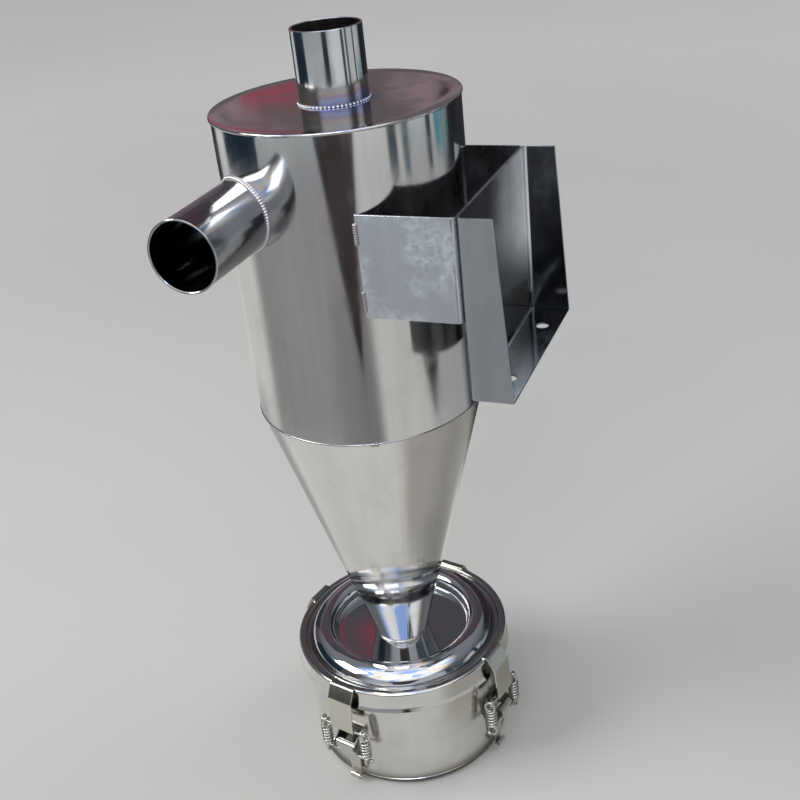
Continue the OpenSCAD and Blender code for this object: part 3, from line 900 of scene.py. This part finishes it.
def make_strap():
    """The strap rises from its hem, leans over to the lid and ends in a tongue on the shoulder."""
    seat_gap = 0.3 * mm
    crest_z = shoulder_z + seat_gap + clip_t / 2
    side_x = hook_x + 1.6 * mm
    lean_z = shoulder_z - 8.5 * mm
    lid_x = lid_r - 0.4 * mm
    bend_r = 2 * mm
    hem = arc(strap_foot_x, hem_z, hem_r - clip_t / 2, -250, 0, 14)
    slope = math.degrees(math.atan2(crest_z - lean_z, side_x - lid_x))
    points = [*hem, (side_x, lean_z - bend_r),
              *arc(side_x - bend_r, lean_z - bend_r, bend_r, 0, 90 - slope, 4)[1:],
              *arc(lid_x, crest_z - bend_r, bend_r, 90 - slope, 90, 4), (lid_x - tongue + bend_r, crest_z)]
    strap = folded("strap", path_xz(points), strap_w, clip_t)
    ease_edges(strap, clip_edge)
    wire = rod(strap_foot_x, hem_z, hem_wire_r, 2 * (spring_y + 2 * mm))
    return joined("strap", [strap, wire])


def make_lever():
    """The lever runs from its curl round the hinge pin, past the springs' cross pin, to a rolled tip."""
    tip_gap, knee_gap = 4.2 * mm, 4.5 * mm
    cross_pin_r, ball_r = 1.3 * mm, 2 * mm
    tip_x = wall_x(lever_tip_z) + tip_gap
    knee_z = spring_pin_z - 6 * mm
    curl_r = (curl_d - clip_t) / 2
    curl = arc(pin_x, pin_z, curl_r, 225, -75, 22)
    shank = [(spring_pin_x + clip_t, spring_pin_z), (wall_x(knee_z) + knee_gap, knee_z),
             (tip_x, lever_tip_z + 3 * mm)]
    roll = arc(tip_x + tip_roll_r, lever_tip_z, tip_roll_r, 170, 430, 12)
    widths = [lever_w] * len(curl) + [lever_w, 0.8 * lever_w] + [lever_tip_w] * (1 + len(roll))
    lever = folded("lever", path_xz(curl + shank + roll), lever_w, clip_t, widths=widths)
    ease_edges(lever, clip_edge)
    pins = rod(spring_pin_x, spring_pin_z, cross_pin_r, 2 * (spring_y + 3 * mm), ball=ball_r)
    return joined("lever", [lever, pins])


def link(x, y, z, height, width, turn):
    """An oval loop of the spring's wire, standing on z and leaning round the vertical by turn."""
    start_afresh()
    bpy.ops.mesh.primitive_torus_add(major_segments=24, minor_segments=10, major_radius=width / 2,
                                     minor_radius=link_wire_r, location=(x, y, z + height / 2),
                                     rotation=(math.pi / 2, 0, turn))
    loop = bpy.context.object
    bpy.ops.object.transform_apply(location=False, rotation=True, scale=False)
    loop.scale = (1, 1, height / width)
    bpy.ops.object.transform_apply()
    bpy.ops.object.shade_smooth()
    return loop


def make_coil(height, place):
    """Round wire wound about a vertical axis and closed at both ends, its foot at the place."""
    steps = 22 * spring_turns
    start_afresh()
    bpy.ops.mesh.primitive_circle_add(vertices=10, radius=wire_r, location=(coil_r, 0, 0),
                                      rotation=(math.pi / 2, 0, 0))
    coil = bpy.context.object
    bpy.ops.object.transform_apply()
    turns = coil.modifiers.new("turns", "SCREW")
    turns.axis = "Z"
    turns.angle = 2 * math.pi * spring_turns
    turns.screw_offset = height
    turns.steps = steps
    turns.render_steps = steps
    turns.use_normal_calculate = True
    bpy.ops.object.modifier_apply(modifier="turns")
    bpy.ops.object.mode_set(mode="EDIT")
    bpy.ops.mesh.select_all(action="SELECT")
    bpy.ops.mesh.remove_doubles(threshold=merge_gap)
    bpy.ops.mesh.normals_make_consistent(inside=False)
    bpy.ops.mesh.select_all(action="DESELECT")
    mesh = bmesh.from_edit_mesh(coil.data)
    for edge in mesh.edges:
        edge.select = edge.is_boundary
    bmesh.update_edit_mesh(coil.data)
    bpy.ops.mesh.edge_face_add()
    bpy.ops.object.mode_set(mode="OBJECT")
    coil.location = place
    bpy.ops.object.transform_apply()
    bpy.ops.object.shade_smooth()
    return coil


def make_springs():
    """Two coils beside the strap, each with two eyes round the strap's wire and one round the pin."""
    coil_h = spring_turns * spring_pitch
    coil_z = (spring_pin_z + hem_z - coil_h) / 2
    coil_x = (spring_pin_x + strap_foot_x) / 2
    coil_top = coil_z + coil_h
    eye_z = coil_top - wire_r
    over_wire, under_pin = 3.4 * mm, 3 * mm
    eye_h = hem_z + over_wire - coil_top
    eye_side = 1.6 * mm
    wide, narrow = 7.6 * mm, 6.4 * mm
    low = spring_pin_z - under_pin
    parts = []
    for y in (-spring_y, spring_y):
        parts.append(make_coil(coil_h, (coil_x, y, coil_z)))
        parts.append(link(coil_x, y - eye_side, eye_z, eye_h, wide, math.radians(12)))
        parts.append(link(coil_x + 0.6 * mm, y + eye_side, eye_z, eye_h - 1 * mm, narrow, math.radians(-36)))
        parts.append(link(coil_x, y, low, coil_z - low + wire_r, narrow, math.radians(8)))
    return joined("springs", parts)


def at_each_clip(model, part, body, slot, material, replaced):
    """Copies the model to the clips' places and deletes it."""
    for i in range(clip_count):
        copy = copy_of(model)
        copy.name = f"{part}_{i + 1}"
        copy.rotation_euler.z = clip_turn + 2 * math.pi * i / clip_count
        only(copy)
        bpy.ops.object.transform_apply()
        finish_piece(copy, body.format(i + 1), slot, material, replaced.format(i + 1))
    bpy.data.objects.remove(model)


def make_clips():
    at_each_clip(make_strap(), "strap", "hook_{}", "clip_steel", strap_steel, "clip_hook_{}")
    at_each_clip(make_lever(), "latch_lever", "lever_{}", "clip_steel", clip_steel, "clip_lever_{}")
    at_each_clip(make_springs(), "spring_pair", "hook_{}", "spring_wire", wire_steel, "clip_springs_{}")


# Room: floor, light, reflected cards, camera
def make_floor():
    """A plain pale floor. Reflections see it darker in some sectors, as in the photo's room."""
    start_afresh()
    bpy.ops.mesh.primitive_plane_add(size=30, location=(0, 0, 0))
    floor = bpy.context.object
    floor.name = "floor"
    material, tree, shader = new_material("floor")
    set_inputs(shader, Roughness=0.6, Specular_IOR_Level=0.15, Emission_Strength=0.3)
    place = object_place(tree)
    cloud = noise(tree, place, 1.4, detail=3)
    pale = mixed(tree, cloud, (0.44, 0.44, 0.425, 1), (0.50, 0.497, 0.485, 1))
    x, y = split(tree, place)[:2]
    away = across(tree, x, y)
    turn = maths(tree, "ARCTAN2", y, x)

    def sector(middle, full, none, from_r, to_r):
        """1 in the floor's sector round that direction and between those distances, 0 outside."""
        off = maths(tree, "ABSOLUTE", maths(tree, "SUBTRACT", turn, math.radians(middle)))
        inside = ramp(tree, off, math.radians(none), math.radians(full))
        near = ramp(tree, away, 1.4 * to_r, to_r)
        return maths(tree, "MULTIPLY", maths(tree, "MULTIPLY", inside, near),
                     ramp(tree, away, from_r, 2 * from_r))

    paths = add(tree, "LightPath")
    glossy = paths.outputs["Is Glossy Ray"]
    # Painted reflection: reflections see the floor paler than the camera does, and darker in the sectors
    # below
    pale = mixed(tree, glossy, pale, (0.61, 0.605, 0.585, 1))
    # Degrees from +X, half widths where the sector is full and where it ends, distances, colour
    dim_sectors = (
        (-115, 48, 64, 0.36, 9.0, (0.235, 0.24, 0.245, 1)),
        (-76, 11, 24, 0.33, 0.95, (0.19, 0.19, 0.195, 1)),
        (16, 14, 34, 0.36, 9.0, (0.47, 0.47, 0.47, 1)),
        (72, 24, 40, 0.25, 9.0, (0.05, 0.05, 0.06, 1)),
        (140, 20, 40, 0.13, 0.6, (0.34, 0.34, 0.35, 1)),
        (18, 42, 66, 0.09, 0.35, (0.37, 0.36, 0.33, 1)))
    for *sizes, colour in dim_sectors:
        shade = maths(tree, "MULTIPLY", sector(*sizes), glossy)
        pale = mixed(tree, shade, pale, colour)

    # A painted shadow line round the bucket's foot, seen only in reflections, and a painted glow far away
    beside = maths(tree, "MULTIPLY", ramp(tree, away, 0.094, 0.085), glossy)
    pale = mixed(tree, beside, pale, (0.14, 0.138, 0.13, 1))
    far = maths(tree, "MULTIPLY", ramp(tree, away, 1.7, 2.6), glossy)
    distance_glow = maths(tree, "MULTIPLY", ramp(tree, away, 0.7, 3.2), paths.outputs["Is Camera Ray"])
    glow = mixed(tree, distance_glow, (0, 0, 0, 1), (0.55, 0.55, 0.54, 1))
    tree.links.new(mixed(tree, far, glow, (0.86, 0.97, 1.0, 1)), shader.inputs["Emission Color"])
    tree.links.new(pale, shader.inputs["Base Color"])
    floor.data.materials.append(material)


def make_light():
    world = bpy.data.worlds.new("room light")
    bpy.context.scene.world = world
    world.use_nodes = True
    tree = world.node_tree
    background = tree.nodes["Background"]
    direction = add(tree, "TexCoord").outputs["Generated"]
    upward = split(tree, direction)["Z"]

    def facing(turn, rise=0.0):
        """How squarely a direction faces that turn and rise: 1 where they are the same."""
        dot = add(tree, "VectorMath", operation="DOT_PRODUCT")
        tree.links.new(direction, dot.inputs[0])
        flat = math.cos(rise)
        dot.inputs[1].default_value = (math.cos(turn) * flat, math.sin(turn) * flat, math.sin(rise))
        return dot.outputs["Value"]

    height = ramp(tree, upward, 0.15, 0.8)
    light = mixed(tree, height, (0.30, 0.30, 0.31, 1), (1.0, 1.0, 1.02, 1))

    # In reflections the room is darker, with one wide bright side of windows
    mirrored = mixed(tree, height, (0.13, 0.13, 0.14, 1), (0.36, 0.38, 0.42, 1))
    window_turn = math.radians(-68)
    toward = facing(window_turn, math.radians(60))
    patch = noise(tree, direction, 3.5, detail=3, distortion=0.3)
    panes = mixed(tree, ramp(tree, patch, 0.50, 0.62), (2.2, 2.25, 2.3, 1), (0.75, 1.15, 2.2, 1))
    panes = mixed(tree, ramp(tree, patch, 0.42, 0.34), panes, (2.2, 1.6, 0.95, 1))
    open_side = ramp(tree, toward, math.cos(math.radians(47)), math.cos(math.radians(33)))
    mirrored = mixed(tree, open_side, mirrored, panes)

    # Below the windows a pale wall, and one more to the right
    ahead = ramp(tree, facing(window_turn), 0.5, 0.8)
    right_side = ramp(tree, facing(math.radians(18)), 0.93, 0.98)
    either = maths(tree, "MAXIMUM", ahead, right_side)
    low_wall = maths(tree, "MULTIPLY", either, ramp(tree, upward, 0.5, 0.3))
    mirrored = mixed(tree, low_wall, mirrored, (0.78, 0.82, 0.92, 1))
    paths = add(tree, "LightPath")
    seen = mixed(tree, paths.outputs["Is Glossy Ray"], light, mirrored)
    tree.links.new(mixed(tree, paths.outputs["Is Camera Ray"], seen, (0.75, 0.75, 0.74, 1)),
                   background.inputs["Color"])
    background.inputs["Strength"].default_value = 0.7

    def lamp(name, place, aim, size, power, colour):
        source = bpy.data.lights.new(name, "AREA")
        source.shape = "RECTANGLE"
        source.size, source.size_y = size
        source.energy = power
        source.color = colour
        holder = bpy.data.objects.new(name, source)
        bpy.context.collection.objects.link(holder)
        holder.location = place
        holder.rotation_euler = (Vector(aim) - Vector(place)).to_track_quat("-Z", "Y").to_euler()
        return holder

    lamp("window", (-1.9, -1.3, 2.1), (0, 0, 0.2), (1.6, 1.2), 58, (1.0, 0.99, 0.97))
    lamp("sky", (0.4, -2.3, 2.3), (0, 0, 0.2), (1.6, 0.7), 22, (0.86, 0.92, 1.0))
    fill = lamp("fill", (1.6, 1.2, 2.2), (0, 0, 0.3), (1.4, 1.4), 18, (0.97, 0.98, 1.0))
    fill.visible_glossy = False


def card(name, turn, distance, low, high, width, colour, foot_width=None, tints=None, from_patch=0.42,
         grain=1.8):
    """A standing card that only reflections see, as a studio uses to shape bright metal. turn is its
    direction from the object, in degrees from +X, low and high its edges' heights, foot_width its width
    at the foot where that differs, tints the colour of its patches and grain how fine they are."""
    start_afresh()
    angle = math.radians(turn)
    place = (distance * math.cos(angle), distance * math.sin(angle), (low + high) / 2)
    bpy.ops.mesh.primitive_plane_add(size=1, location=place, rotation=(math.pi / 2, 0, angle + math.pi / 2))
    piece = bpy.context.object
    piece.name = name
    piece.scale = (width, high - low, 1)
    bpy.ops.object.transform_apply(location=False, rotation=False, scale=True)
    if foot_width:
        mesh = bmesh.new()
        mesh.from_mesh(piece.data)
        for vertex in mesh.verts:
            if vertex.co.y < 0:
                vertex.co.x *= foot_width / width
        mesh.to_mesh(piece.data)
        mesh.free()
    material, tree, shader = new_material(name)
    set_inputs(shader, Roughness=0.9, Specular_IOR_Level=0.0)
    place = object_place(tree)
    other = tints or tuple(0.7 * c for c in colour)
    patches = ramp(tree, noise(tree, place, grain, detail=3, distortion=0.4), from_patch, from_patch + 0.15)
    tree.links.new(mixed(tree, patches, (*colour, 1), (*other, 1)), shader.inputs["Base Color"])
    piece.data.materials.append(material)
    piece.visible_camera = False
    piece.visible_diffuse = False
    piece.visible_shadow = False


def make_cards():
    card("card_front", -70, 0.86, 0.0, 0.37, 0.56, (0.10, 0.08, 0.08), foot_width=0.02,
         tints=(0.06, 0.045, 0.05))
    card("card_tube", -74, 1.7, 0.15, 0.5, 0.46, (0.06, 0.07, 0.08))
    card("card_leg", -4, 0.70, 0.0, 0.10, 0.28, (0.06, 0.055, 0.045), foot_width=0.02)
    card("card_back", 114, 2.2, 0.55, 1.45, 3.4, (0.165, 0.145, 0.155), tints=(0.35, 0.25, 0.29),
         from_patch=0.47, grain=5)
    card("card_red", 119, 2.1, 0.93, 1.02, 0.22, (0.42, 0.09, 0.14), foot_width=0.30)
    card("card_dark", 107, 2.1, 0.95, 1.10, 0.16, (0.05, 0.05, 0.055), foot_width=0.05)
    card("card_back_top", 114, 2.2, 1.45, 3.2, 3.4, (0.10, 0.105, 0.12), tints=(0.36, 0.07, 0.11),
         from_patch=0.54)
    card("card_side", 78, 1.0, 0.0, 0.6, 0.8, (0.04, 0.04, 0.045))
    card("card_cyan", 36, 1.7, 0.05, 0.24, 0.52, (0.06, 0.42, 0.50), tints=(0.36, 0.44, 0.46), grain=9)
    # Tall cards round the object: direction, width, colour
    tall_cards = (
        (-19, 0.26, (0.10, 0.14, 0.17)),
        (-6, 0.19, (0.10, 0.20, 0.26)),
        (20, 0.16, (0.03, 0.06, 0.09)),
        (55, 0.42, (0.04, 0.05, 0.06)),
        (80, 0.80, (0.16, 0.24, 0.28)),
        (147, 0.54, (0.05, 0.06, 0.08)),
        (-165, 1.40, (0.03, 0.055, 0.09)))
    for i, (turn, width, colour) in enumerate(tall_cards):
        card(f"card_{i}", turn, 1.7, 0.02, 0.85, width, colour)


def make_camera():
    """The camera fitted to the photograph's rims, tiles and bracket corners: its place and angles are
    in axes of its own, turned round Z from the frame's, and its focal length is in pixels."""
    view = bpy.data.cameras.new("camera")
    holder = bpy.data.objects.new("camera", view)
    bpy.context.collection.objects.link(holder)
    turn = math.radians(26)
    place = Vector((-1.9, -743.8, 718.2)) * mm
    yaw, pitch, roll, focal = 0.0296, 0.4943, -0.1149, 1110.5
    picture_w = 800
    sensor_w = 36
    forward = Vector((math.sin(yaw) * math.cos(pitch), math.cos(yaw) * math.cos(pitch), -math.sin(pitch)))
    right = Vector((math.cos(yaw), -math.sin(yaw), 0))
    up = right.cross(forward)
    tilted_right = right * math.cos(roll) + up * math.sin(roll)
    tilted_up = up * math.cos(roll) - right * math.sin(roll)

    def turned_round(v):
        return Vector((v.x * math.cos(turn) - v.y * math.sin(turn),
                       v.x * math.sin(turn) + v.y * math.cos(turn), v.z))

    axes = [turned_round(v) for v in (tilted_right, tilted_up, -forward)]
    holder.matrix_world = placed(*axes, turned_round(place))
    view.sensor_width = sensor_w
    view.lens = sensor_w * focal / picture_w
    view.clip_start = 0.01
    bpy.context.scene.camera = holder
    bpy.context.scene.view_settings.view_transform = "Standard"


def dress_kept_solids():
    """Gives the frame's own solids that stay in view their materials."""
    kept = {"lid_seal": ("seal_rubber", seal_rubber)}
    for i in range(clip_count):
        kept[f"clip_base_{i + 1}"] = ("clip_steel", base_shaded_steel)
    for name, (slot, material) in kept.items():
        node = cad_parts[name]
        node.data.materials.clear()
        node.data.materials.append(material)


make_camera()
make_floor()
make_light()
make_cards()
make_barrel()
make_plate()
make_cone()
make_pipes()
make_outlet_weld()
make_inlet_weld()
make_lid()
make_bucket()
make_bracket()
make_tray()
make_edge_welds()
make_seam_tack()
make_clips()
dress_kept_solids()
